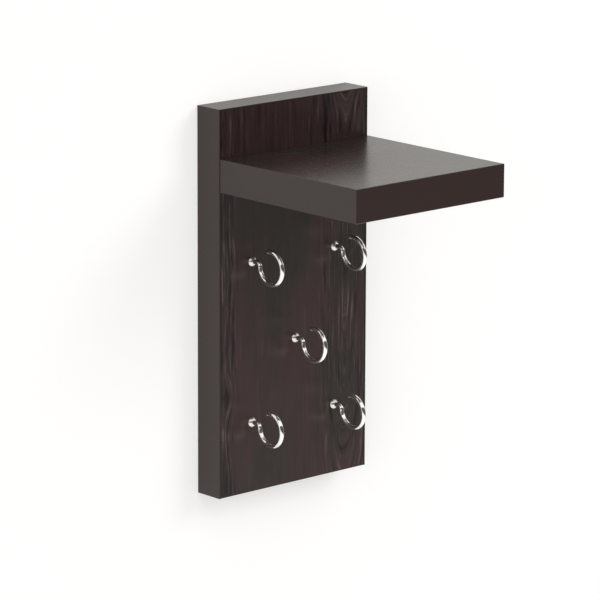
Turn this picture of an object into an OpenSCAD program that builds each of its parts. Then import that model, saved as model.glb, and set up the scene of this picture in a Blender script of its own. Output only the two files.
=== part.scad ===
// Wall key holder: a laminated back panel with a small shelf and five screw-in hooks.
// The origin is the middle of the panel's back face, +Z is up and the front looks along -Y.

/* [Back panel] */
// Width of the back panel over its edge bands
panel_w = 100; // [90:1:200]
// Height of the back panel over its edge bands
panel_h = 200; // [180:1:320]
// Thickness of the back panel
panel_t = 17; // [15:0.5:25]

/* [Shelf] */
// Distance that each side of the shelf stays inside the panel's edge
shelf_inset = 0.4; // [0:0.1:15]
// Depth of the shelf from the panel's front face
shelf_d = 100; // [50:1:150]
// Thickness of the shelf
shelf_t = 17; // [12:0.5:25]
// Height of panel that stands above the shelf
upstand_h = 25; // [20:1:40]

/* [Edge bands] */
// Thickness of the glued edge bands
band_t = 0.8; // [0.4:0.1:2]
// Radius on the trimmed long edges of a band
band_edge_r = 0.35; // [0.1:0.05:0.4]

/* [Hook wire] */
// Diameter of the hook wire
wire_d = 2.4; // [1.8:0.1:3]
// Length of straight wire between the panel's face and the first bend
neck_l = 3.5; // [2.5:0.1:8]
// Radius of the first bend to the middle of the wire
bend_r = 2; // [1.6:0.1:4]
// Angle that the first bend turns down
bend_angle = 86; // [60:1:90]
// Inside radius of the loop
loop_inner_r = 7.2; // [5:0.1:9]
// Angle that the loop turns through
loop_angle = 278; // [240:1:290]
// Radius on the cut end of the wire
tip_r = 0.7; // [0.3:0.1:0.8]

/* [Hook shank] */
// Depth that the shank is screwed into the panel, with its point
shank_l = 12; // [8:0.5:14]
// Length of the plain wire below the panel's face, before the thread
shank_plain_l = 1.5; // [0.5:0.5:3]
// Length of the tapered point
shank_point_l = 2.5; // [1.5:0.5:4]
// Diameter at the root of the shank's thread
shank_root_d = 1.7; // [1.2:0.1:1.7]
// Distance from one turn of the shank's thread to the next
shank_pitch = 1; // [0.8:0.1:1.5]

/* [Hook collars] */
// Diameter of the collar's rim
collar_d = 5.2; // [4.8:0.1:8]
// Height of the collar above the panel's face
collar_h = 1.3; // [0.8:0.1:1.5]
// Thickness of the collar's sheet
collar_t = 0.4; // [0.2:0.05:0.5]

/* [Hook places] */
// Distance of the side hooks from the panel's middle line
hook_side = 28; // [20:0.5:35]
// Distance of the middle hook from the panel's middle line, to the right
middle_hook_x = 1.3; // [-5:0.1:5]
// Height of the upper hooks above the panel's lower edge
upper_hook_h = 120; // [105:1:135]
// Height of the middle hook above the panel's lower edge
middle_hook_h = 76; // [65:0.5:90]
// Height of the lower hooks above the panel's lower edge
lower_hook_h = 36.5; // [20:0.5:50]
// Turn of the upper left hook about its shank, by hand fitting
upper_left_lean = 1; // [-10:0.5:10]
// Turn of the upper right hook about its shank
upper_right_lean = 4.5; // [-10:0.5:10]
// Turn of the middle hook about its shank
middle_lean = 0; // [-10:0.5:10]
// Turn of the lower left hook about its shank
lower_left_lean = 1.5; // [-10:0.5:10]
// Turn of the lower right hook about its shank
lower_right_lean = 2.5; // [-10:0.5:10]

/* [Shelf screws] */
// Distance of each shelf screw from the panel's middle line
screw_side = 25; // [15:0.5:35]
// Outer diameter of the screw's thread
screw_d = 3.5; // [3:0.1:4]
// Diameter at the root of the screw's thread
screw_root_d = 2.3; // [1.8:0.1:2.6]
// Length of a screw from the top of its head to its point
screw_l = 40; // [30:1:55]
// Length of the screw's tapered point
screw_point_l = 4; // [2:0.5:6]
// Distance from one turn of the screw's thread to the next
screw_pitch = 1.8; // [1.4:0.1:2.4]
// Diameter of the countersunk head
head_d = 7; // [6:0.1:8.5]
// Height of the straight rim round the head
head_rim_h = 0.4; // [0.2:0.1:0.8]
// Depth of the head's top below the panel's back face
head_sink = 0.4; // [0:0.1:1.5]
// Diameter of the cross recess over its wings
recess_d = 4.2; // [3:0.1:4.8]
// Thickness of the cross recess's wings
recess_wing_t = 0.9; // [0.6:0.1:1.2]
// Depth of the cross recess
recess_depth = 1.9; // [1:0.1:2.2]
// Extra diameter of the screw's hole through the panel
screw_hole_clearance = 0.5; // [0.2:0.1:1]
// Extra depth of a pilot hole past the screw's point
pilot_clearance = 0.5; // [0.2:0.1:2]

/* [Keyholes] */
// Distance of each keyhole from the panel's middle line
keyhole_side = 30; // [20:0.5:35]
// Depth of the entry hole's middle below the panel's top edge
keyhole_drop = 22; // [20:0.5:26]
// Diameter of the entry hole, for the head of a wall screw
keyhole_d = 9.5; // [8:0.1:11]
// Distance that the slot rises from the middle of the entry hole
keyhole_rise = 9; // [7:0.5:11]
// Width of the slot's mouth, for the shank of a wall screw
keyhole_slot_w = 4.8; // [4:0.1:6]
// Width of the undercut behind the mouth
keyhole_undercut_w = 9; // [7:0.1:9.5]
// Thickness of board left over the undercut
keyhole_lip_t = 3.5; // [2:0.1:5]
// Depth of the keyhole from the panel's back face
keyhole_depth = 9; // [7:0.1:10]

/* [Hidden] */
$fn = 64;
// A cutter runs this far past the face that it opens
past = 1;

panel_core_w = panel_w - 2 * band_t;
panel_core_h = panel_h - 2 * band_t;
shelf_w = panel_w - 2 * shelf_inset;
shelf_core_w = shelf_w - 2 * band_t;
shelf_core_d = shelf_d - band_t;
shelf_top = panel_h / 2 - upstand_h;
shelf_middle = shelf_top - shelf_t / 2;
keyhole_z = panel_h / 2 - keyhole_drop;

loop_r = loop_inner_r + wire_d / 2;

// Middle height of the dome that the collar is pressed to, below its rim when negative
dome_mid = (pow(collar_h, 2) + pow(wire_d / 2, 2) - pow(collar_d / 2, 2)) / (2 * collar_h);
dome_r = norm([collar_d / 2, dome_mid]);

head_cone_h = (head_d - screw_root_d) / 2;
recess_tip_d = recess_d / 3;

// Name, place across the panel, height above its lower edge and lean of each hook
HOOKS = [
    ["upper_left", -hook_side, upper_hook_h, upper_left_lean],
    ["upper_right", hook_side, upper_hook_h, upper_right_lean],
    ["middle", middle_hook_x, middle_hook_h, middle_lean],
    ["lower_left", -hook_side, lower_hook_h, lower_left_lean],
    ["lower_right", hook_side, lower_hook_h, lower_right_lean]
];
SIDES = [["left", -1], ["right", 1]];

BOARD = "#3a2f2d";
BAND = "#4a4440";
NICKEL = "#c9c8c6";
ZINC = "#a9a9a4";

// Outline of a thread of wood-screw form, from its point at the origin to its plain end:
// sharp turns on a thin core, with the last turns running down to the point
function turns_in(length, pitch) = max(1, floor(length / pitch));
function thread_outline(root_r, crest_r, point_l, thread_l, pitch) =
    let (turns = turns_in(thread_l, pitch))
    concat(
        [[0, 0], [root_r, point_l]],
        [for (i = [0 : turns - 1], half = [0.5, 1])
            [half == 1 ? root_r : crest_r, point_l + (i + half) * pitch]]
    );

// Threaded stem on +Z with its point at the origin and a plain end of its own diameter
module stem(root_d, crest_d, point_l, thread_l, pitch, plain_d, plain_l) {
    thread_end = point_l + turns_in(thread_l, pitch) * pitch;
    full_l = point_l + thread_l + plain_l;
    rotate_extrude()
        polygon(concat(
            thread_outline(root_d / 2, crest_d / 2, point_l, thread_l, pitch),
            [[plain_d / 2, thread_end], [plain_d / 2, full_l], [0, full_l]]
        ));
}

// Hole on +Z that such a stem is driven into, pointed at the origin and open at its top
module stem_hole(d, point_l, length) {
    cylinder(h = point_l, d1 = 0, d2 = d);
    translate([0, 0, point_l])
        cylinder(h = length - point_l + past, d = d);
}

// Strip of edge band along +Z: glued face on x = 0, width along +Y, outer edges rounded
module band(length, width) {
    linear_extrude(length) {
        square([band_t - band_edge_r, width]);
        translate([0, band_edge_r])
            square([band_t, width - 2 * band_edge_r]);
        for (y = [band_edge_r, width - band_edge_r])
            translate([band_t - band_edge_r, y])
                circle(band_edge_r);
    }
}

// Sets its children at a hook's place on the panel's front face, with +X out of the
// panel and +Y up the loop
module at_hook(h) {
    translate([h[1], -panel_t, h[2] - panel_h / 2])
        rotate([0, -h[3], 0])
            rotate([90, 0, -90])
                children();
}

// Sets its children at a shelf screw's head on the panel's back face, with +Z out of it
module at_screw(side) {
    translate([side * screw_side, 0, shelf_middle])
        rotate([-90, 0, 0])
            children();
}

// Arc of wire in the XY plane from the origin: it sets off along +X and turns by the
// angle, to the left when positive and to the right when negative
module wire_arc(r, angle) {
    turn = sign(angle);
    translate([0, turn * r, 0])
        rotate([0, 0, turn > 0 ? -90 : 90 + angle])
            rotate_extrude(angle = abs(angle))
                translate([r, 0])
                    circle(d = wire_d);
}

// Sets its children at the end of such an arc, with +X along the wire
module after_arc(r, angle) {
    middle = sign(angle) * r;
    translate([0, middle, 0])
        rotate([0, 0, angle])
            translate([0, -middle, 0])
                children();
}

// Cut end of the wire along +X, with its rim tumbled round
module wire_tip() {
    rotate([0, 90, 0])
        rotate_extrude() {
            square([wire_d / 2 - tip_r, tip_r]);
            intersection() {
                translate([wire_d / 2 - tip_r, 0])
                    circle(tip_r);
                square([wire_d / 2, tip_r]);
            }
        }
}

// Hook of one bent wire with a threaded shank
module hook(h) {
    color(NICKEL)
    at_hook(h)
        translate([neck_l, 0, 0]) {
            translate([-neck_l - shank_l, 0, 0])
                rotate([0, 90, 0])
                    stem(shank_root_d, wire_d, shank_point_l,
                        shank_l - shank_point_l - shank_plain_l, shank_pitch,
                        wire_d, shank_plain_l + neck_l);
            wire_arc(bend_r, -bend_angle);
            after_arc(bend_r, -bend_angle) {
                wire_arc(loop_r, loop_angle);
                after_arc(loop_r, loop_angle)
                    wire_tip();
            }
        }
}

// Domed collar pressed over the wire, with its rim on the panel
module collar(h) {
    color(NICKEL)
    at_hook(h)
        rotate([0, 90, 0])
            rotate_extrude()
                difference() {
                    intersection() {
                        translate([0, dome_mid])
                            circle(dome_r);
                        translate([wire_d / 2, 0])
                            square([collar_d / 2, collar_h]);
                    }
                    translate([0, dome_mid])
                        circle(dome_r - collar_t);
                }
}

// Routed keyhole in the panel's back, entered at its foot and hung on at its top
module keyhole() {
    rotate([90, 0, 0]) {
        translate([0, 0, -past])
            cylinder(h = keyhole_depth + past, d = keyhole_d);
        translate([0, 0, -past])
            slot(keyhole_slot_w, keyhole_lip_t + 2 * past);
        translate([0, 0, keyhole_lip_t])
            slot(keyhole_undercut_w, keyhole_depth - keyhole_lip_t);
    }
}

// Upright slot from the origin up +Y, with a round upper end
module slot(w, depth) {
    translate([-w / 2, 0, 0])
        cube([w, keyhole_rise, depth]);
    translate([0, keyhole_rise, 0])
        cylinder(h = depth, d = w);
}

module back_panel() {
    color(BOARD)
    difference() {
        translate([-panel_core_w / 2, -panel_t, -panel_core_h / 2])
            cube([panel_core_w, panel_t, panel_core_h]);
        for (h = HOOKS)
            at_hook(h)
                translate([-shank_l, 0, 0])
                    rotate([0, 90, 0])
                        stem_hole(wire_d, shank_point_l, shank_l);
        for (s = SIDES) {
            at_screw(s[1])
                screw_seat();
            translate([s[1] * keyhole_side, 0, keyhole_z])
                keyhole();
        }
    }
}

// Bands on the panel's four edges; the side bands cover the ends of the other two
module panel_side_band(side) {
    color(BAND)
    translate([side * panel_core_w / 2, -panel_t, -panel_h / 2])
        mirror([side < 0 ? 1 : 0, 0, 0])
            band(panel_h, panel_t);
}

module panel_end_band(end) {
    color(BAND)
    translate([-panel_core_w / 2, -panel_t, end * panel_core_h / 2])
        mirror([0, 0, end < 0 ? 1 : 0])
            rotate([0, -90, 0])
                mirror([0, 0, 1])
                    band(panel_core_w, panel_t);
}

module shelf_board() {
    color(BOARD)
    difference() {
        translate([-shelf_core_w / 2, -panel_t - shelf_core_d, shelf_top - shelf_t])
            cube([shelf_core_w, shelf_core_d, shelf_t]);
        for (s = SIDES)
            at_screw(s[1])
                screw_pilot();
    }
}

// Bands on the shelf's sides and front; the front band covers the ends of the side bands
module shelf_side_band(side) {
    color(BAND)
    translate([side * shelf_core_w / 2, -panel_t, shelf_top - shelf_t])
        mirror([side < 0 ? 1 : 0, 0, 0])
            rotate([90, 0, 0])
                band(shelf_core_d, shelf_t);
}

module shelf_front_band() {
    color(BAND)
    translate([-shelf_w / 2, -panel_t - shelf_core_d, shelf_top - shelf_t])
        rotate([90, 0, 90])
            mirror([1, 0, 0])
                band(shelf_w, shelf_t);
}

// Head of a shelf screw, its top on z = 0 and its cone running into the stem
module screw_head() {
    translate([0, 0, -head_rim_h])
        cylinder(h = head_rim_h, d = head_d);
    translate([0, 0, -head_rim_h - head_cone_h])
        cylinder(h = head_cone_h, d1 = screw_root_d, d2 = head_d);
}

// Cross recess that narrows to the bottom
module cross_recess() {
    intersection() {
        translate([0, 0, -recess_depth])
            cylinder(h = recess_depth + past, d1 = recess_tip_d,
                d2 = recess_d + (recess_d - recess_tip_d) * past / recess_depth);
        for (turn = [0, 90])
            rotate([0, 0, turn])
                translate([-recess_d, -recess_wing_t / 2, -recess_depth])
                    cube([2 * recess_d, recess_wing_t, recess_depth + past]);
    }
}

// Countersunk screw driven from the panel's back into the shelf's rear edge
module shelf_screw(side) {
    head_h = head_rim_h + head_cone_h;
    color(ZINC)
    at_screw(side)
        translate([0, 0, -head_sink])
            difference() {
                union() {
                    screw_head();
                    translate([0, 0, -screw_l])
                        stem(screw_root_d, screw_d, screw_point_l,
                            screw_l - screw_point_l - head_h, screw_pitch, screw_root_d, 0);
                }
                cross_recess();
            }
}

// Countersink and clearance hole for a shelf screw through the panel
module screw_seat() {
    translate([0, 0, -head_sink]) {
        screw_head();
        cylinder(h = head_sink + past, d = head_d);
    }
    translate([0, 0, -panel_t - past])
        cylinder(h = panel_t + past, d = screw_d + screw_hole_clearance);
}

// Pilot hole for a shelf screw in the shelf's rear edge, as wide as its thread
module screw_pilot() {
    tip = -head_sink - screw_l - pilot_clearance;
    translate([0, 0, tip])
        stem_hole(screw_d, screw_point_l, -panel_t - tip);
}

back_panel();
panel_side_band(-1);  // panel_left_band
panel_side_band(1);  // panel_right_band
panel_end_band(1);  // panel_top_band
panel_end_band(-1);  // panel_bottom_band
shelf_board();
shelf_side_band(-1);  // shelf_left_band
shelf_side_band(1);  // shelf_right_band
shelf_front_band();
for (s = SIDES) {
    shelf_screw(s[1]);
}
for (h = HOOKS) {
    hook(h);
    collar(h);
}
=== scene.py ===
import math
import bpy
from mathutils import Matrix, Vector


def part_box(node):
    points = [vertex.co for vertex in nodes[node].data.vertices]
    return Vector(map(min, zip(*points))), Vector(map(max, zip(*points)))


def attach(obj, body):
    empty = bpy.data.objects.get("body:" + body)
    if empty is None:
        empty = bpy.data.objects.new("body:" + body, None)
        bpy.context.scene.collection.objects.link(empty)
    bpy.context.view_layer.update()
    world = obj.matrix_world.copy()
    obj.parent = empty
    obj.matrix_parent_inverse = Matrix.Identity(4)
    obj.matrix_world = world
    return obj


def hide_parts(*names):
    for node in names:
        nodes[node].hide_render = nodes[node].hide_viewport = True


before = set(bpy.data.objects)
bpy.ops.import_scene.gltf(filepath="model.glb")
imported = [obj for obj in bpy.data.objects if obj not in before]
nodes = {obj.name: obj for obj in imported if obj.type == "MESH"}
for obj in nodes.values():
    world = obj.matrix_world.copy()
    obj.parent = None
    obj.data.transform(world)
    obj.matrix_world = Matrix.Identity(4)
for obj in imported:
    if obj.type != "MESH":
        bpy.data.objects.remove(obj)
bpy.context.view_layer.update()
mm = 0.001
print("frame loaded:", len(nodes), "nodes")


def linearColor(hexCode):
    # sRGB hex to the linear values that shaders use
    channels = [int(hexCode[i:i + 2], 16) / 255 for i in (1, 3, 5)]
    return [c / 12.92 if c <= 0.04045 else ((c + 0.055) / 1.055) ** 2.4 for c in channels] + [1.0]


def addNode(tree, kind, settings=None, **inputs):
    # a node with its settings; an input takes a value, a socket, or a node whose first output it links to
    # an input is named, with _ for a space, or numbered as in0, in1
    node = tree.nodes.new(kind)
    for key, value in (settings or {}).items():
        setattr(node, key, value)
    for key, value in inputs.items():
        numbered = key.startswith("in") and key[2:].isdigit()
        socket = node.inputs[int(key[2:])] if numbered else node.inputs[key.replace("_", " ")]
        if isinstance(value, bpy.types.Node):
            value = next(output for output in value.outputs if output.enabled)
        if isinstance(value, bpy.types.NodeSocket):
            tree.links.new(value, socket)
        else:
            socket.default_value = value
    return node


def newMaterial(name):
    material = bpy.data.materials.new(name)
    material.use_nodes = True
    material.node_tree.nodes.clear()
    return material, material.node_tree


def giveMaterial(piece, material):
    piece.data.materials.clear()
    piece.data.materials.append(material)
    for face in piece.data.polygons:
        face.material_index = 0


# camera at the photograph's viewing angle
cameraValues = {
    "azimuth": -41.87,      # degrees, 0 looks straight at the wall
    "elevation": 13.1,
    "roll": 0.22,
    "distance": 2.0,        # metres from the aim
    "aim": (0.0, -0.05, 0.0),
    "offset": (0.019, -0.0016),     # the aim's place right of and above the lens axis
    "lens": 239.0,
}


def makeCamera():
    v = cameraValues
    a, e = math.radians(v["azimuth"]), math.radians(v["elevation"])
    back = Vector((math.sin(a) * math.cos(e), -math.cos(a) * math.cos(e), math.sin(e)))
    right = Matrix.Rotation(math.radians(v["roll"]), 3, back) @ Vector((0, 0, 1)).cross(back).normalized()
    up = back.cross(right)
    data = bpy.data.cameras.new("camera")
    data.lens = v["lens"]
    data.clip_start = 0.01
    data.clip_end = 50
    camera = bpy.data.objects.new("camera", data)
    place = Vector(v["aim"]) - right * v["offset"][0] - up * v["offset"][1] + back * v["distance"]
    camera.matrix_world = Matrix.Translation(place) @ Matrix((right, up, back)).transposed().to_4x4()
    bpy.context.scene.collection.objects.link(camera)
    bpy.context.scene.camera = camera
    bpy.context.scene.view_settings.view_transform = "Standard"


# white painted wall that the panel hangs on, seen from its front only
wallValues = {
    "reach": 3.0,           # half the wall's width and height, metres
    "gap": 0.0002,          # behind the panel's back
    "color": "#dadad2",     # as the gloss mirrors it
    "mirrorShare": 0.5,     # how far it is lifted to plain white where the gloss or the metal mirrors it
    "seenColor": "#c8c8c6", # as the camera sees it, with the lift added, so that its shadows are soft
    "seenLift": 0.52,
    "shadeFrom": (-0.25, -0.7, 0.6),    # where the light that draws those shadows comes from
    "whiteReach": (0.1, 0.45),  # distances from the panel's middle over which it turns all white, metres
}


def wallMaterial():
    v = wallValues
    material, tree = newMaterial("mattWallPaint")
    path = addNode(tree, "ShaderNodeLightPath")
    white = addNode(tree, "ShaderNodeEmission", Color=(1, 1, 1, 1), Strength=1.0)

    # what the gloss and the metal mirror
    share = addNode(tree, "ShaderNodeMath", {"operation": "ADD"},
                    in0=path.outputs["Is Glossy Ray"], in1=path.outputs["Is Transmission Ray"])
    share = addNode(tree, "ShaderNodeMath", {"operation": "MULTIPLY"}, in0=share, in1=v["mirrorShare"])
    paint = addNode(tree, "ShaderNodeBsdfDiffuse", Color=linearColor(v["color"]))
    mirrored = addNode(tree, "ShaderNodeMixShader", in0=share, in1=paint, in2=white)

    # what the camera sees: shadows near the panel, plain white away from it
    x, y, z = v["shadeFrom"]
    facing = addNode(tree, "ShaderNodeCombineXYZ", X=x, Y=y, Z=z)
    facing = addNode(tree, "ShaderNodeVectorMath", {"operation": "NORMALIZE"}, in0=facing)
    paint = addNode(tree, "ShaderNodeBsdfDiffuse", Color=linearColor(v["seenColor"]), Normal=facing)
    lift = addNode(tree, "ShaderNodeEmission", Color=(1, 1, 1, 1), Strength=v["seenLift"])
    seen = addNode(tree, "ShaderNodeAddShader", in0=paint, in1=lift)
    place = addNode(tree, "ShaderNodeTexCoord").outputs["Object"]
    away = addNode(tree, "ShaderNodeVectorMath", {"operation": "LENGTH"}, in0=place)
    far = addNode(tree, "ShaderNodeMapRange", {"interpolation_type": "SMOOTHSTEP"},
                  Value=away.outputs["Value"], From_Min=v["whiteReach"][0], From_Max=v["whiteReach"][1])
    seen = addNode(tree, "ShaderNodeMixShader", in0=far, in1=seen, in2=white)
    shown = addNode(tree, "ShaderNodeMixShader", in0=path.outputs["Is Camera Ray"], in1=mirrored, in2=seen)

    # from behind it is clear
    behind = addNode(tree, "ShaderNodeNewGeometry").outputs["Backfacing"]
    clear = addNode(tree, "ShaderNodeBsdfTransparent")
    wallShader = addNode(tree, "ShaderNodeMixShader", in0=behind, in1=shown, in2=clear)
    addNode(tree, "ShaderNodeOutputMaterial", Surface=wallShader)
    return material


def makeWall():
    r, y = wallValues["reach"], wallValues["gap"]
    mesh = bpy.data.meshes.new("wall")
    mesh.from_pydata([(-r, y, -r), (r, y, -r), (r, y, r), (-r, y, r)], [], [(0, 1, 2, 3)])
    mesh.materials.append(wallMaterial())
    wall = bpy.data.objects.new("wall", mesh)
    bpy.context.scene.collection.objects.link(wall)
    wall.visible_shadow = False
    wall.visible_diffuse = False


# soft studio light: a pale room that is brighter low down, softboxes in front and one behind the wall
lightValues = {
    "roomLight": (0.9, 0.78),   # strength of the room on rough surfaces, from below and from above
    "roomBlend": (-0.5, 0.5),   # heights between which the two meet, -1 straight down and 1 up
    "roomTint": "#fffdfb",
    "roomShine": [              # strength of the room in the gloss, by the same heights
        (-1.0, 1.3), (-0.34, 1.25), (-0.16, 0.16), (-0.06, 0.07),
        (0.12, 0.08), (0.3, 0.12), (0.6, 0.2), (1.0, 0.4),
    ],
    "shineTilt": 0.12,          # how much lower the bright part lies to the right
    "stripShine": 1.25,         # strength of a long overhead softbox that the gloss mirrors
    "stripRise": (27.0, 64.5),  # its lower and upper edge, degrees above straight ahead of the wall
    "stripBlur": 4.0,           # width of its soft edges, degrees
    "softboxes": [
        # name, place in metres, size in metres, watts
        ("keySoftbox", (1.3, -1.6, 1.1), 1.0, 14.0),
        ("sideSoftbox", (-1.9, -1.1, 0.2), 1.2, 7.0),
        ("lowSoftbox", (0.5, -1.8, -1.1), 1.2, 7.0),
        ("backSoftbox", (0.4, 1.8, 1.2), 1.2, 14.0),
    ],
}


def roomInGloss(tree, direction):
    # the room's strength by height, and the overhead softbox where that is brighter
    v = lightValues
    height = addNode(tree, "ShaderNodeMath", {"operation": "MULTIPLY_ADD"},
                     in0=direction.outputs["X"], in1=v["shineTilt"], in2=direction.outputs["Z"])
    height = addNode(tree, "ShaderNodeMapRange", Value=height, From_Min=-1.0, From_Max=1.0)
    shine = addNode(tree, "ShaderNodeValToRGB", Fac=height)
    stops = shine.color_ramp.elements
    for i, (level, strength) in enumerate(v["roomShine"]):
        stop = stops[i] if i < 2 else stops.new(1.0)
        stop.position = (level + 1) / 2
        stop.color = (strength, strength, strength, 1)
    ahead = addNode(tree, "ShaderNodeMath", {"operation": "MULTIPLY"}, in0=direction.outputs["Y"], in1=-1.0)
    rise = addNode(tree, "ShaderNodeMath", {"operation": "ARCTAN2"}, in0=direction.outputs["Z"], in1=ahead)
    low, high, blur = (math.radians(angle) for angle in (*v["stripRise"], v["stripBlur"] / 2))
    above = addNode(tree, "ShaderNodeMapRange", Value=rise, From_Min=low - blur, From_Max=low + blur)
    below = addNode(tree, "ShaderNodeMapRange", Value=rise, From_Min=high + blur, From_Max=high - blur)
    strip = addNode(tree, "ShaderNodeMath", {"operation": "MULTIPLY"}, in0=above, in1=below)
    strip = addNode(tree, "ShaderNodeMath", {"operation": "MULTIPLY"}, in0=strip, in1=v["stripShine"])
    return addNode(tree, "ShaderNodeMath", {"operation": "MAXIMUM"}, in0=shine.outputs["Color"], in1=strip)


def makeRoom():
    v = lightValues
    world = bpy.data.worlds.new("paleRoom")
    bpy.context.scene.world = world
    world.use_nodes = True
    tree = world.node_tree
    tree.nodes.clear()
    path = addNode(tree, "ShaderNodeLightPath")
    ray = addNode(tree, "ShaderNodeTexCoord").outputs["Generated"]
    direction = addNode(tree, "ShaderNodeSeparateXYZ", Vector=ray)
    soft = addNode(tree, "ShaderNodeMapRange", Value=direction.outputs["Z"],
                   From_Min=v["roomBlend"][0], From_Max=v["roomBlend"][1],
                   To_Min=v["roomLight"][0], To_Max=v["roomLight"][1])
    room = addNode(tree, "ShaderNodeMix", {"data_type": "FLOAT"},
                   Factor=path.outputs["Is Glossy Ray"], A=soft, B=roomInGloss(tree, direction))
    strength = addNode(tree, "ShaderNodeMath", {"operation": "MAXIMUM"},
                       in0=room, in1=path.outputs["Is Camera Ray"])
    tint = addNode(tree, "ShaderNodeMix", {"data_type": "RGBA"},
                   Factor=path.outputs["Is Camera Ray"], A=linearColor(v["roomTint"]), B=(1, 1, 1, 1))
    light = addNode(tree, "ShaderNodeBackground", Color=tint.outputs["Result"], Strength=strength)
    addNode(tree, "ShaderNodeOutputWorld", Surface=light)


def makeSoftboxes():
    for name, place, size, watts in lightValues["softboxes"]:
        data = bpy.data.lights.new(name, "AREA")
        data.size = size
        data.energy = watts
        softbox = bpy.data.objects.new(name, data)
        softbox.location = place
        softbox.rotation_euler = Vector(place).to_track_quat("Z", "Y").to_euler()
        softbox.visible_glossy = False      # the gloss mirrors the room and the wall alone
        bpy.context.scene.collection.objects.link(softbox)


makeCamera()
makeWall()
makeRoom()
makeSoftboxes()
print("camera, wall and lights made")


# boards of particleboard under melamine printed as wenge: a dark figure under an even satin, sizes in mm
boardValues = {
    "redBrown": "#322221",
    "oliveBrown": "#26201c",
    "lateWood": "#0f0807",      # the darkest lines of the print
    "paleGrain": "#514340",     # its palest lines
    "panelRoughness": 0.31,     # satin
    "shelfRoughness": 0.26,     # rubbed smoother, so that the shelf mirrors the panel softly
    "fibreTone": (0.3, 0.7),    # tones of the fibres between which the roughness changes
    "fibreGloss": 0.03,         # how far they raise and lower it
    "relief": 0.0025,           # depth of the pressed fibres
    "reliefStrength": 0.6,
    "panelFigure": 1.0,         # strength of the figure on each board
    "shelfFigure": 0.3,
    "grain": {
        # distance between lines, length along which one keeps its tone, its reach in depth, steps of detail
        "line": (1.35, 38.0, 20.0, 4.0),
        "vein": (3.2, 60.0, 20.0, 2.0),
        "fibre": (0.42, 9.0, 3.0, 2.0),
    },
    "fineShare": 0.65,          # strength of each step of detail against the one before
    "fibreShare": 0.25,         # share of the fibres in the tone of the lines
    "darkTone": (0.485, 0.385), # tones at which a line starts to be dark and at which it is darkest
    "veinTone": (0.43, 0.35),
    "veinShare": 0.85,          # how dark the veins are against the lines
    "paleTone": (0.54, 0.66),
    "heart": 35.0,              # distance from the middle line to the arches of the grain
    "heartDepth": [             # height over the board's middle and depth of the rings' heart there
        (-100, 10.0), (-70, 5.5), (-45, 1.5), (45, 1.5), (68, 7.5), (100, 3.0),
    ],
    "wander": 2.6,              # how far the lines wave sideways
    "waveSize": (17.0, 55.0, 20.0),     # width, length and depth of such a wave
    "eyePlace": (-42.5, -49.0), # small eye that the lines flow round
    "eyeSize": (4.0, 11.0),
    "eyeReach": 1.6,            # how far it is felt, in its own sizes
    "eyeLift": 3.0,             # how far it pushes the lines aside
    "figureReach": (11.0, 23.0),    # the figure is strong this near the arches and gone this far from them
    "edgeFigure": (-43.0, -37.0),   # it is strong again beyond this place at the other edge
    "edgeShare": 1.9,           # how much stronger it is there than at the arches
    "figure": (0.22, 1.15),     # its strength between them and at them
    "topReach": (60.0, 74.0),   # heights over the middle between which the print changes above the shelf
    "topFigure": 0.42,          # least share of the figure there
    "patchSize": (6.0, 20.0, 20.0),     # width, length and depth of patches in which it comes and goes
    "patchTone": (0.38, 0.6),
    "patchShare": (0.45, 1.3),  # its strength in the weak and in the strong ones
    "driftSize": (24.0, 75.0, 20.0),    # width, length and depth of the red and the olive stretches
    "driftSeed": 69.0,          # picks their layout
    "driftTone": (0.42, 0.58),  # tones between which red turns to olive; above the shelf all is red
    "glueLine": 0.9,            # width of the dark line along the long edges, where the bands are glued
    "glueCore": 0.3,            # share of that width in which it is darkest
    "glueShare": 0.9,
    "laminateThickness": 0.15,
    "rawChips": ("#8f7a5c", "#cdbc9e"),     # pale chips of the bare core, dry and rough
    "chipSize": 1.3,
    "chipRelief": 0.3,
    "rawRoughness": 0.85,
}


def boardSpace(tree, axes, faceMiddle):
    # places on a board in mm from the middle of its face; axes names the board's own directions in this
    # order: across the grain, through the thickness, along the grain
    v = boardValues
    place = addNode(tree, "ShaderNodeTexCoord").outputs["Object"]
    fromFace = addNode(tree, "ShaderNodeMapping", Vector=place, Scale=(1 / mm,) * 3,
                       Location=tuple(-c / mm for c in faceMiddle))
    own = addNode(tree, "ShaderNodeSeparateXYZ", Vector=fromFace)
    across, depth, along = (own.outputs[axis] for axis in axes)
    return {
        "fromFace": fromFace,
        "across": across,
        "depth": depth,
        "along": along,
        "place": addNode(tree, "ShaderNodeCombineXYZ", X=across, Y=along, Z=depth),
        "fromHeart": addNode(tree, "ShaderNodeMath", {"operation": "SUBTRACT"}, in0=across, in1=v["heart"]),
        "atTop": addNode(tree, "ShaderNodeMapRange", Value=along,
                         From_Min=v["topReach"][0], From_Max=v["topReach"][1]),
    }


def ringDistance(tree, board):
    # growth rings round a heart whose depth changes along the board, so that the face cuts them in arches
    v = boardValues
    low, high = v["heartDepth"][0][0], v["heartDepth"][-1][0]
    deepest = max(deep for _, deep in v["heartDepth"])
    height = addNode(tree, "ShaderNodeMapRange", Value=board["along"], From_Min=low, From_Max=high)
    heart = addNode(tree, "ShaderNodeFloatCurve", Value=height)
    points = heart.mapping.curves[0].points
    first, *between, last = [((h - low) / (high - low), deep / deepest) for h, deep in v["heartDepth"]]
    points[0].location = first
    points[1].location = last
    for spot in between:
        points.new(*spot)
    heart.mapping.update()
    under = addNode(tree, "ShaderNodeMath", {"operation": "MULTIPLY_ADD"},
                    in0=heart, in1=deepest, in2=board["depth"])
    arm = addNode(tree, "ShaderNodeCombineXYZ", X=board["fromHeart"], Y=under)
    return addNode(tree, "ShaderNodeVectorMath", {"operation": "LENGTH"}, in0=arm).outputs["Value"]


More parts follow.
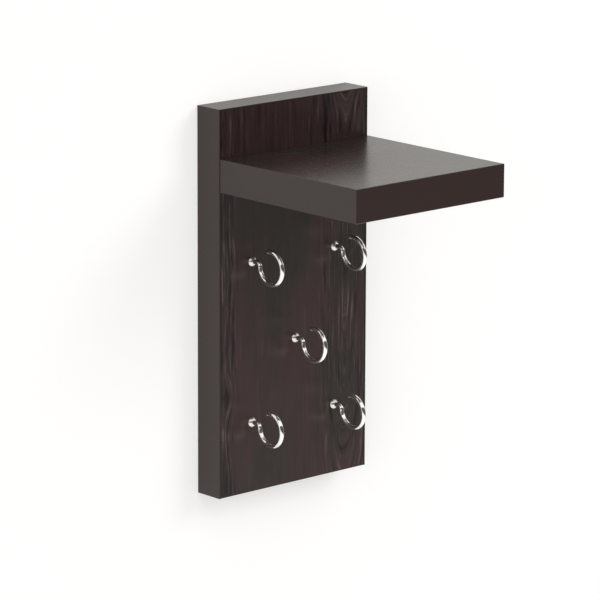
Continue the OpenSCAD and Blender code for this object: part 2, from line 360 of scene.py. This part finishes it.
def eyePush(tree, board):
    # a small eye pushes the lines aside
    v = boardValues
    spot = {}
    for way, start, size in zip(("across", "along"), v["eyePlace"], v["eyeSize"]):
        spot[way] = addNode(tree, "ShaderNodeMapRange", {"clamp": False}, Value=board[way],
                            From_Min=start, From_Max=start + size)
    arm = addNode(tree, "ShaderNodeCombineXYZ", X=spot["across"], Y=spot["along"])
    away = addNode(tree, "ShaderNodeVectorMath", {"operation": "LENGTH"}, in0=arm)
    return addNode(tree, "ShaderNodeMapRange", {"interpolation_type": "SMOOTHERSTEP"},
                   Value=away.outputs["Value"], From_Min=0.0, From_Max=v["eyeReach"],
                   To_Min=v["eyeLift"], To_Max=0.0)


def grainLayers(tree, board):
    # lines, veins and fibres that follow the rings, with a slow sway, and flow round the eye
    v = boardValues
    sway = addNode(tree, "ShaderNodeVectorMath", {"operation": "DIVIDE"},
                   in0=board["place"], in1=v["waveSize"])
    sway = addNode(tree, "ShaderNodeTexNoise", Vector=sway, Scale=1.0, Detail=2.0)
    sway = addNode(tree, "ShaderNodeMath", {"operation": "MULTIPLY_ADD"},
                   in0=sway, in1=2 * v["wander"], in2=-v["wander"])
    line = addNode(tree, "ShaderNodeMath", {"operation": "ADD"}, in0=ringDistance(tree, board), in1=sway)
    line = addNode(tree, "ShaderNodeMath", {"operation": "ADD"}, in0=line, in1=eyePush(tree, board))
    place = addNode(tree, "ShaderNodeCombineXYZ", X=line, Y=board["along"], Z=board["depth"])
    grain = {}
    for layer, (*size, detail) in v["grain"].items():
        stretched = addNode(tree, "ShaderNodeVectorMath", {"operation": "DIVIDE"}, in0=place, in1=size)
        grain[layer] = addNode(tree, "ShaderNodeTexNoise", Vector=stretched, Scale=1.0,
                               Detail=detail, Roughness=v["fineShare"])
    return grain


def figureStrength(tree, board, figure):
    # strong at the arches and at the far edge, and calm between them, but less so above the shelf
    v = boardValues
    aside = addNode(tree, "ShaderNodeMath", {"operation": "ABSOLUTE"}, in0=board["fromHeart"])
    atArches = addNode(tree, "ShaderNodeMapRange", {"interpolation_type": "SMOOTHSTEP"}, Value=aside,
                       From_Min=v["figureReach"][1], From_Max=v["figureReach"][0])
    atEdge = addNode(tree, "ShaderNodeMapRange", {"interpolation_type": "SMOOTHSTEP"},
                     Value=board["across"], To_Max=v["edgeShare"],
                     From_Min=v["edgeFigure"][1], From_Max=v["edgeFigure"][0])
    strength = addNode(tree, "ShaderNodeMath", {"operation": "MAXIMUM"}, in0=atArches, in1=atEdge)
    top = addNode(tree, "ShaderNodeMath", {"operation": "MULTIPLY"}, in0=board["atTop"], in1=v["topFigure"])
    strength = addNode(tree, "ShaderNodeMath", {"operation": "MAXIMUM"}, in0=strength, in1=top)
    strength = addNode(tree, "ShaderNodeMapRange", {"clamp": False}, Value=strength,
                       To_Min=v["figure"][0] * figure, To_Max=v["figure"][1] * figure)
    patches = addNode(tree, "ShaderNodeVectorMath", {"operation": "DIVIDE"},
                      in0=board["place"], in1=v["patchSize"])
    patches = addNode(tree, "ShaderNodeTexNoise", Vector=patches, Scale=1.0, Detail=1.0)
    patches = addNode(tree, "ShaderNodeMapRange", Value=patches,
                      From_Min=v["patchTone"][0], From_Max=v["patchTone"][1],
                      To_Min=v["patchShare"][0], To_Max=v["patchShare"][1])
    return addNode(tree, "ShaderNodeMath", {"operation": "MULTIPLY"}, in0=strength, in1=patches)


def groundColor(tree, board):
    # slow red and olive stretches, with no olive above the shelf
    v = boardValues
    spread = addNode(tree, "ShaderNodeVectorMath", {"operation": "DIVIDE"},
                     in0=board["place"], in1=v["driftSize"])
    spread = addNode(tree, "ShaderNodeVectorMath", {"operation": "SUBTRACT"},
                     in0=(0.0, 0.0, v["driftSeed"]), in1=spread)
    drift = addNode(tree, "ShaderNodeTexNoise", Vector=spread, Scale=1.0, Detail=3.0)
    olive = addNode(tree, "ShaderNodeMapRange", Value=drift,
                    From_Min=v["driftTone"][0], From_Max=v["driftTone"][1])
    olive = addNode(tree, "ShaderNodeMix", {"data_type": "FLOAT"}, Factor=board["atTop"], A=olive, B=0.0)
    return addNode(tree, "ShaderNodeMix", {"data_type": "RGBA"}, Factor=olive,
                   A=linearColor(v["redBrown"]), B=linearColor(v["oliveBrown"])).outputs["Result"]


def printColor(tree, board, grain, strength, width):
    # pale grain, dark lines and veins on the ground, and the dark glue lines along the long edges
    v = boardValues
    tone = addNode(tree, "ShaderNodeMix", {"data_type": "FLOAT"},
                   Factor=v["fibreShare"], A=grain["line"], B=grain["fibre"])
    pale = addNode(tree, "ShaderNodeMapRange", Value=tone,
                   From_Min=v["paleTone"][0], From_Max=v["paleTone"][1])
    pale = addNode(tree, "ShaderNodeMath", {"operation": "MULTIPLY"}, in0=pale, in1=strength)
    dark = addNode(tree, "ShaderNodeMapRange", Value=tone,
                   From_Min=v["darkTone"][0], From_Max=v["darkTone"][1])
    veins = addNode(tree, "ShaderNodeMapRange", Value=grain["vein"],
                    From_Min=v["veinTone"][0], From_Max=v["veinTone"][1], To_Max=v["veinShare"])
    dark = addNode(tree, "ShaderNodeMath", {"operation": "MAXIMUM"}, in0=dark, in1=veins)
    dark = addNode(tree, "ShaderNodeMath", {"operation": "MULTIPLY"}, in0=dark, in1=strength)
    aside = addNode(tree, "ShaderNodeMath", {"operation": "ABSOLUTE"}, in0=board["across"])
    glue = addNode(tree, "ShaderNodeMapRange", {"interpolation_type": "SMOOTHSTEP"}, Value=aside,
                   From_Min=width / 2 - v["glueLine"], From_Max=width / 2 - v["glueCore"] * v["glueLine"],
                   To_Max=v["glueShare"])
    color = groundColor(tree, board)
    for share, tint in ((pale, "paleGrain"), (dark, "lateWood"), (glue, "lateWood")):
        color = addNode(tree, "ShaderNodeMix", {"data_type": "RGBA"}, Factor=share,
                        A=color, B=linearColor(v[tint])).outputs["Result"]
    return color


def boardMaterial(name, axes, faceMiddle, width, thickness, figure, roughness):
    # thickness is 0 for a board whose raw core is hidden all over, and which is then laminate throughout
    v = boardValues
    material, tree = newMaterial(name)
    board = boardSpace(tree, axes, faceMiddle)
    grain = grainLayers(tree, board)
    printed = printColor(tree, board, grain, figureStrength(tree, board, figure), width)

    # raw particleboard where a cutter went through the laminate
    core = addNode(tree, "ShaderNodeMath", {"operation": "SUBTRACT"}, in0=board["depth"], in1=thickness / 2)
    core = addNode(tree, "ShaderNodeMath", {"operation": "ABSOLUTE"}, in0=core)
    raw = addNode(tree, "ShaderNodeMath", {"operation": "LESS_THAN"},
                  in0=core, in1=thickness / 2 - v["laminateThickness"])
    chips = addNode(tree, "ShaderNodeTexVoronoi", Vector=board["fromFace"], Scale=1 / v["chipSize"])
    chipTone = addNode(tree, "ShaderNodeSeparateColor", Color=chips.outputs["Color"])
    chipColor = addNode(tree, "ShaderNodeMix", {"data_type": "RGBA"}, Factor=chipTone,
                        A=linearColor(v["rawChips"][0]), B=linearColor(v["rawChips"][1]))
    color = addNode(tree, "ShaderNodeMix", {"data_type": "RGBA"}, Factor=raw,
                    A=printed, B=chipColor.outputs["Result"])

    # smoother on the raised fibres, rough on the chips, and a fine relief of either
    gloss = addNode(tree, "ShaderNodeMapRange", Value=grain["fibre"],
                    From_Min=v["fibreTone"][0], From_Max=v["fibreTone"][1],
                    To_Min=roughness + v["fibreGloss"], To_Max=roughness - v["fibreGloss"])
    gloss = addNode(tree, "ShaderNodeMix", {"data_type": "FLOAT"},
                    Factor=raw, A=gloss, B=v["rawRoughness"])
    height = addNode(tree, "ShaderNodeMix", {"data_type": "FLOAT"}, Factor=raw,
                     A=grain["fibre"], B=chips.outputs["Distance"])
    reach = addNode(tree, "ShaderNodeMapRange", Value=raw,
                    To_Min=v["relief"] * mm, To_Max=v["chipRelief"] * mm)
    relief = addNode(tree, "ShaderNodeBump", Height=height, Strength=v["reliefStrength"], Distance=reach)
    shader = addNode(tree, "ShaderNodeBsdfPrincipled", Base_Color=color.outputs["Result"],
                     Roughness=gloss, Normal=relief)
    addNode(tree, "ShaderNodeOutputMaterial", Surface=shader)
    return material


# edge band extruded of brown ABS, plain, with a fine pebbled skin
bandValues = {
    "color": "#2e1f1d",
    "mottle": "#271a18",
    "mottleScale": 0.06,        # spots to a millimetre
    "pebble": 0.35,             # width of the pebbles, mm
    "relief": 0.008,            # height of the pebbles, mm
    "reliefStrength": 0.4,
    "roughness": (0.24, 0.32),
}


def bandMaterial():
    v = bandValues
    material, tree = newMaterial("absEdgeBand")
    place = addNode(tree, "ShaderNodeTexCoord").outputs["Object"]
    place = addNode(tree, "ShaderNodeMapping", Vector=place, Scale=(1 / mm,) * 3)
    mottle = addNode(tree, "ShaderNodeTexNoise", Vector=place, Scale=v["mottleScale"], Detail=3.0)
    pebble = addNode(tree, "ShaderNodeTexNoise", Vector=place, Scale=1 / v["pebble"], Detail=1.0)
    color = addNode(tree, "ShaderNodeMix", {"data_type": "RGBA"}, Factor=mottle,
                    A=linearColor(v["color"]), B=linearColor(v["mottle"]))
    gloss = addNode(tree, "ShaderNodeMapRange", Value=mottle,
                    To_Min=v["roughness"][0], To_Max=v["roughness"][1])
    relief = addNode(tree, "ShaderNodeBump", Height=pebble, Strength=v["reliefStrength"],
                     Distance=v["relief"] * mm)
    shader = addNode(tree, "ShaderNodeBsdfPrincipled", Base_Color=color.outputs["Result"],
                     Roughness=gloss, Normal=relief)
    addNode(tree, "ShaderNodeOutputMaterial", Surface=shader)
    return material


# plated metals, with the size of the clouds in their gloss in mm
metalValues = {
    # a clear mirror on the drawn wire
    "brightNickelPlate": {"color": "#f2f0ed", "roughness": 0.06, "spread": 0.05, "cloudSize": 3.0},
    # the same plate on the pressed collars, dulled in the barrel that small parts are plated in
    "barrelNickelPlate": {"color": "#dcd8d3", "roughness": 0.2, "spread": 0.12, "cloudSize": 0.9},
    # blue-white and cloudy on the screws
    "zincPlate": {"color": "#b4b9bd", "roughness": 0.3, "spread": 0.12, "cloudSize": 1.2},
}
cloudTone = (0.35, 0.65)        # tones of the clouds between which the roughness rises by its spread


def metalMaterial(name):
    v = metalValues[name]
    material, tree = newMaterial(name)
    place = addNode(tree, "ShaderNodeTexCoord").outputs["Object"]
    place = addNode(tree, "ShaderNodeMapping", Vector=place, Scale=(1 / mm,) * 3)
    cloud = addNode(tree, "ShaderNodeTexNoise", Vector=place, Scale=1 / v["cloudSize"], Detail=4.0)
    gloss = addNode(tree, "ShaderNodeMapRange", Value=cloud, From_Min=cloudTone[0], From_Max=cloudTone[1],
                    To_Min=v["roughness"], To_Max=v["roughness"] + v["spread"])
    shader = addNode(tree, "ShaderNodeBsdfPrincipled", Base_Color=linearColor(v["color"]),
                     Metallic=1.0, Roughness=gloss)
    addNode(tree, "ShaderNodeOutputMaterial", Surface=shader)
    return material


def finishBoards():
    v = boardValues
    low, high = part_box("back_panel")
    laminate = boardMaterial(
        "wengeLaminatePanel", axes=("X", "Y", "Z"), faceMiddle=(0.0, low.y, 0.0),
        width=(high.x - low.x) / mm, thickness=(high.y - low.y) / mm,
        figure=v["panelFigure"], roughness=v["panelRoughness"])
    giveMaterial(nodes["back_panel"], laminate)
    low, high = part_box("shelf_board")
    laminate = boardMaterial(
        "wengeLaminateShelf", axes=("Y", "Z", "X"), faceMiddle=(0.0, (low.y + high.y) / 2, high.z),
        width=(high.y - low.y) / mm, thickness=0.0,
        figure=v["shelfFigure"], roughness=v["shelfRoughness"])
    giveMaterial(nodes["shelf_board"], laminate)


def finishSmallPieces():
    band = bandMaterial()
    collarNickel = metalMaterial("barrelNickelPlate")
    zinc = metalMaterial("zincPlate")
    for name, piece in nodes.items():
        if name.endswith("_band"):
            giveMaterial(piece, band)
        elif name.startswith("shelf_screw"):
            giveMaterial(piece, zinc)
        elif name.startswith("collar_"):
            giveMaterial(piece, collarNickel)


finishBoards()
finishSmallPieces()
print("boards, bands, collars and screws finished")


# hooks of bent wire: each follows its own path from the point of its shank to its cut end
hookValues = {
    "Wire Diameter": 2.4 * mm,
    "Neck Length": 3.5 * mm,        # straight wire in front of the panel
    "Bend Radius": 2.0 * mm,
    "Bend Angle": math.radians(86),
    "Loop Radius": 8.4 * mm,        # to the middle of the wire
    "Loop Angle": math.radians(278),
    "Tip Radius": 0.7 * mm,
    "Shank Length": 12.0 * mm,
    "Plain Shank": 1.5 * mm,
    "Point Length": 2.5 * mm,
    "Point Radius": 0.01 * mm,
    "Root Diameter": 1.7 * mm,
    "Thread Pitch": 1.0 * mm,
    "Ring Step": 0.12 * mm,         # distance between the rings of the mesh
    "Sides": 24,
}
hookLeans = {       # degrees
    "upper_left": 1.0, "upper_right": 4.5, "middle": 0.0, "lower_left": 1.5, "lower_right": 2.5,
}


def startTree(name, sizes):
    # a Geometry Nodes tree with a named input for each size
    tree = bpy.data.node_groups.new(name, "GeometryNodeTree")
    tree.interface.new_socket("Geometry", in_out="INPUT", socket_type="NodeSocketGeometry")
    for label, value in sizes.items():
        kind = "NodeSocketInt" if isinstance(value, int) else "NodeSocketFloat"
        tree.interface.new_socket(label, in_out="INPUT", socket_type=kind)
    tree.interface.new_socket("Geometry", in_out="OUTPUT", socket_type="NodeSocketGeometry")
    return tree, addNode(tree, "NodeGroupInput").outputs


def runTree(tree, sizes, host):
    # the tree's result as a plain mesh on its host
    modifier = host.modifiers.new("build", "NODES")
    modifier.node_group = tree
    for item in tree.interface.items_tree:
        if item.in_out == "INPUT" and item.name in sizes:
            modifier[item.identifier] = sizes[item.name]
    bpy.context.scene.collection.objects.link(host)
    evaluated = host.evaluated_get(bpy.context.evaluated_depsgraph_get())
    mesh = bpy.data.meshes.new_from_object(evaluated)
    host.modifiers.remove(modifier)
    host.data = mesh
    mesh.name = host.name


def wireLengths(tree, size):
    # where the wire's stretches start, from the point of its shank, and its rings and their step
    bend = addNode(tree, "ShaderNodeMath", {"operation": "MULTIPLY"},
                   in0=size["Bend Radius"], in1=size["Bend Angle"])
    loop = addNode(tree, "ShaderNodeMath", {"operation": "MULTIPLY"},
                   in0=size["Loop Radius"], in1=size["Loop Angle"])
    bendStart = addNode(tree, "ShaderNodeMath", {"operation": "ADD"},
                        in0=size["Shank Length"], in1=size["Neck Length"])
    loopStart = addNode(tree, "ShaderNodeMath", {"operation": "ADD"}, in0=bendStart, in1=bend)
    tipStart = addNode(tree, "ShaderNodeMath", {"operation": "ADD"}, in0=loopStart, in1=loop)
    whole = addNode(tree, "ShaderNodeMath", {"operation": "ADD"}, in0=tipStart, in1=size["Tip Radius"])
    steps = addNode(tree, "ShaderNodeMath", {"operation": "DIVIDE"}, in0=whole, in1=size["Ring Step"])
    steps = addNode(tree, "ShaderNodeMath", {"operation": "CEIL"}, in0=steps)
    return {
        "bendStart": bendStart,
        "loopStart": loopStart,
        "tipStart": tipStart,
        "step": addNode(tree, "ShaderNodeMath", {"operation": "DIVIDE"}, in0=whole, in1=steps),
        "rings": addNode(tree, "ShaderNodeMath", {"operation": "ADD"}, in0=steps, in1=1.0),
    }


def bentWire(tree, size, at):
    # the wire's heading, 0 straight out of the panel, read half a step back and summed along its length
    index = addNode(tree, "GeometryNodeInputIndex")
    length = addNode(tree, "ShaderNodeMath", {"operation": "MULTIPLY"}, in0=index, in1=at["step"])
    halfBack = addNode(tree, "ShaderNodeMath", {"operation": "MULTIPLY_ADD"},
                       in0=at["step"], in1=-0.5, in2=length)
    down = addNode(tree, "ShaderNodeMapRange", Value=halfBack, From_Min=at["bendStart"],
                   From_Max=at["loopStart"], To_Min=0.0, To_Max=size["Bend Angle"])
    curl = addNode(tree, "ShaderNodeMapRange", Value=halfBack, From_Min=at["loopStart"],
                   From_Max=at["tipStart"], To_Min=0.0, To_Max=size["Loop Angle"])
    heading = addNode(tree, "ShaderNodeMath", {"operation": "SUBTRACT"}, in0=curl, in1=down)
    stride = addNode(tree, "ShaderNodeMath", {"operation": "MINIMUM"}, in0=length, in1=at["step"])
    out = addNode(tree, "ShaderNodeMath", {"operation": "COSINE"}, in0=heading)
    out = addNode(tree, "ShaderNodeMath", {"operation": "MULTIPLY"}, in0=out, in1=stride)
    out = addNode(tree, "ShaderNodeMath", {"operation": "MULTIPLY"}, in0=out, in1=-1.0)
    rise = addNode(tree, "ShaderNodeMath", {"operation": "SINE"}, in0=heading)
    rise = addNode(tree, "ShaderNodeMath", {"operation": "MULTIPLY"}, in0=rise, in1=stride)
    summed = addNode(tree, "GeometryNodeAccumulateField", {"data_type": "FLOAT_VECTOR"},
                     Value=addNode(tree, "ShaderNodeCombineXYZ", Y=out, Z=rise))
    middle = addNode(tree, "ShaderNodeVectorMath", {"operation": "ADD"}, in0=summed.outputs["Leading"],
                     in1=addNode(tree, "ShaderNodeCombineXYZ", Y=size["Shank Length"]))

    # points of the wire, which keep their length from the point and their place for the sweep
    wire = addNode(tree, "GeometryNodeMeshLine", Count=at["rings"])
    wire = addNode(tree, "GeometryNodeStoreNamedAttribute", {"data_type": "FLOAT", "domain": "POINT"},
                   Geometry=wire, Name="length", Value=length)
    wire = addNode(tree, "GeometryNodeStoreNamedAttribute",
                   {"data_type": "FLOAT_VECTOR", "domain": "POINT"},
                   Geometry=wire, Name="middle", Value=middle)
    middle = addNode(tree, "GeometryNodeInputNamedAttribute", {"data_type": "FLOAT_VECTOR"}, Name="middle")
    wire = addNode(tree, "GeometryNodeSetPosition", Geometry=wire, Position=middle)
    return addNode(tree, "GeometryNodeMeshToCurve", Mesh=wire), middle


def threadedRadius(tree, size, length, radius, threadEnd):
    # tapered point and helical thread, which grows in over the point and runs out before the plain shank
    turn = addNode(tree, "GeometryNodeInputNamedAttribute", {"data_type": "FLOAT"}, Name="turn")
    root = addNode(tree, "ShaderNodeMath", {"operation": "MULTIPLY"}, in0=size["Root Diameter"], in1=0.5)
    core = addNode(tree, "ShaderNodeMapRange", Value=length, From_Min=0.0, From_Max=size["Point Length"],
                   To_Min=size["Point Radius"], To_Max=root)
    turns = addNode(tree, "ShaderNodeMath", {"operation": "DIVIDE"}, in0=length, in1=size["Thread Pitch"])
    turns = addNode(tree, "ShaderNodeMath", {"operation": "SUBTRACT"}, in0=turns, in1=turn)
    ridge = addNode(tree, "ShaderNodeMath", {"operation": "PINGPONG"}, in0=turns, in1=0.5)
    ridge = addNode(tree, "ShaderNodeMath", {"operation": "MULTIPLY"}, in0=ridge, in1=2.0)
    runIn = addNode(tree, "ShaderNodeMapRange", Value=length, From_Min=0.0, From_Max=size["Point Length"])
    runOutStart = addNode(tree, "ShaderNodeMath", {"operation": "SUBTRACT"},
                          in0=threadEnd, in1=size["Thread Pitch"])
    runOut = addNode(tree, "ShaderNodeMapRange", Value=length, From_Min=threadEnd, From_Max=runOutStart)
    ridge = addNode(tree, "ShaderNodeMath", {"operation": "MULTIPLY"}, in0=ridge, in1=runIn)
    ridge = addNode(tree, "ShaderNodeMath", {"operation": "MULTIPLY"}, in0=ridge, in1=runOut)
    ridgeHeight = addNode(tree, "ShaderNodeMath", {"operation": "SUBTRACT"}, in0=radius, in1=root)
    return addNode(tree, "ShaderNodeMath", {"operation": "MULTIPLY_ADD"},
                   in0=ridge, in1=ridgeHeight, in2=core)


def wireRadius(tree, size, at, radius):
    # radius along the wire: thread, plain wire and tumbled end
    length = addNode(tree, "GeometryNodeInputNamedAttribute", {"data_type": "FLOAT"}, Name="length")
    threadEnd = addNode(tree, "ShaderNodeMath", {"operation": "SUBTRACT"},
                        in0=size["Shank Length"], in1=size["Plain Shank"])
    plainStart = addNode(tree, "ShaderNodeMath", {"operation": "ADD"}, in0=threadEnd, in1=size["Ring Step"])
    plain = addNode(tree, "ShaderNodeMapRange", Value=length, From_Min=threadEnd, From_Max=plainStart,
                    To_Min=0.0, To_Max=radius)
    threaded = threadedRadius(tree, size, length, radius, threadEnd)
    along = addNode(tree, "ShaderNodeMath", {"operation": "MAXIMUM"}, in0=threaded, in1=plain)
    pastTip = addNode(tree, "ShaderNodeMath", {"operation": "SUBTRACT"}, in0=length, in1=at["tipStart"])
    pastTip = addNode(tree, "ShaderNodeMath", {"operation": "MAXIMUM"}, in0=pastTip, in1=0.0)
    pastTip = addNode(tree, "ShaderNodeMath", {"operation": "DIVIDE"}, in0=pastTip, in1=size["Tip Radius"])
    pastTip = addNode(tree, "ShaderNodeMath", {"operation": "ARCSINE"}, in0=pastTip)
    rounding = addNode(tree, "ShaderNodeMath", {"operation": "COSINE"}, in0=pastTip)
    rounding = addNode(tree, "ShaderNodeMath", {"operation": "SUBTRACT"}, in0=rounding, in1=1.0)
    end = addNode(tree, "ShaderNodeMath", {"operation": "MULTIPLY_ADD"},
                  in0=rounding, in1=size["Tip Radius"], in2=radius)
    return addNode(tree, "ShaderNodeMath", {"operation": "MINIMUM"}, in0=along, in1=end)


def hookTree(material):
    tree, size = startTree("bentWireHook", hookValues)
    at = wireLengths(tree, size)
    wire, middle = bentWire(tree, size, at)

    # a round section that remembers the angle of each of its points
    radius = addNode(tree, "ShaderNodeMath", {"operation": "MULTIPLY"}, in0=size["Wire Diameter"], in1=0.5)
    section = addNode(tree, "GeometryNodeCurvePrimitiveCircle", Resolution=size["Sides"], Radius=radius)
    turn = addNode(tree, "GeometryNodeSplineParameter").outputs["Factor"]
    section = addNode(tree, "GeometryNodeStoreNamedAttribute", {"data_type": "FLOAT", "domain": "POINT"},
                      Geometry=section, Name="turn", Value=turn)
    swept = addNode(tree, "GeometryNodeCurveToMesh", Curve=wire, Profile_Curve=section, Fill_Caps=True)

    # each point of the sweep moves to its own radius
    share = addNode(tree, "ShaderNodeMath", {"operation": "DIVIDE"},
                    in0=wireRadius(tree, size, at, radius), in1=radius)
    arm = addNode(tree, "ShaderNodeVectorMath", {"operation": "SUBTRACT"},
                  in0=addNode(tree, "GeometryNodeInputPosition"), in1=middle)
    arm = addNode(tree, "ShaderNodeVectorMath", {"operation": "SCALE"}, in0=arm, in3=share)
    place = addNode(tree, "ShaderNodeVectorMath", {"operation": "ADD"}, in0=middle, in1=arm)
    shaped = addNode(tree, "GeometryNodeSetPosition", Geometry=swept, Position=place)
    for name in ("length", "middle", "turn"):
        shaped = addNode(tree, "GeometryNodeRemoveAttribute", Geometry=shaped, Name=name)

    # one hook at each place, turned by its lean
    lean = addNode(tree, "GeometryNodeInputNamedAttribute", {"data_type": "FLOAT"}, Name="lean")
    turned = addNode(tree, "ShaderNodeCombineXYZ", Y=lean)
    turned = addNode(tree, "FunctionNodeEulerToRotation", Euler=turned)
    placed = addNode(tree, "GeometryNodeInstanceOnPoints", Points=size["Geometry"],
                     Instance=shaped, Rotation=turned)
    whole = addNode(tree, "GeometryNodeRealizeInstances", Geometry=placed)
    whole = addNode(tree, "GeometryNodeSetShadeSmooth", Geometry=whole)
    whole = addNode(tree, "GeometryNodeSetMaterial", Geometry=whole, Material=material)
    addNode(tree, "NodeGroupOutput", Geometry=whole)
    return tree


def makeHooks():
    places = []
    for name in hookLeans:
        low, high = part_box("collar_" + name)
        places.append(((low.x + high.x) / 2, high.y, (low.z + high.z) / 2))
    mesh = bpy.data.meshes.new("hookPlaces")
    mesh.from_pydata(places, [], [])
    leans = mesh.attributes.new("lean", "FLOAT", "POINT")
    for point, degrees in zip(leans.data, hookLeans.values()):
        point.value = -math.radians(degrees)
    hooks = bpy.data.objects.new("wireHooks", mesh)
    runTree(hookTree(metalMaterial("brightNickelPlate")), hookValues, hooks)
    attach(hooks, "root")
    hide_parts(*("hook_" + name for name in hookLeans))
    print("hooks bent:", len(hooks.data.polygons), "faces")


makeHooks()
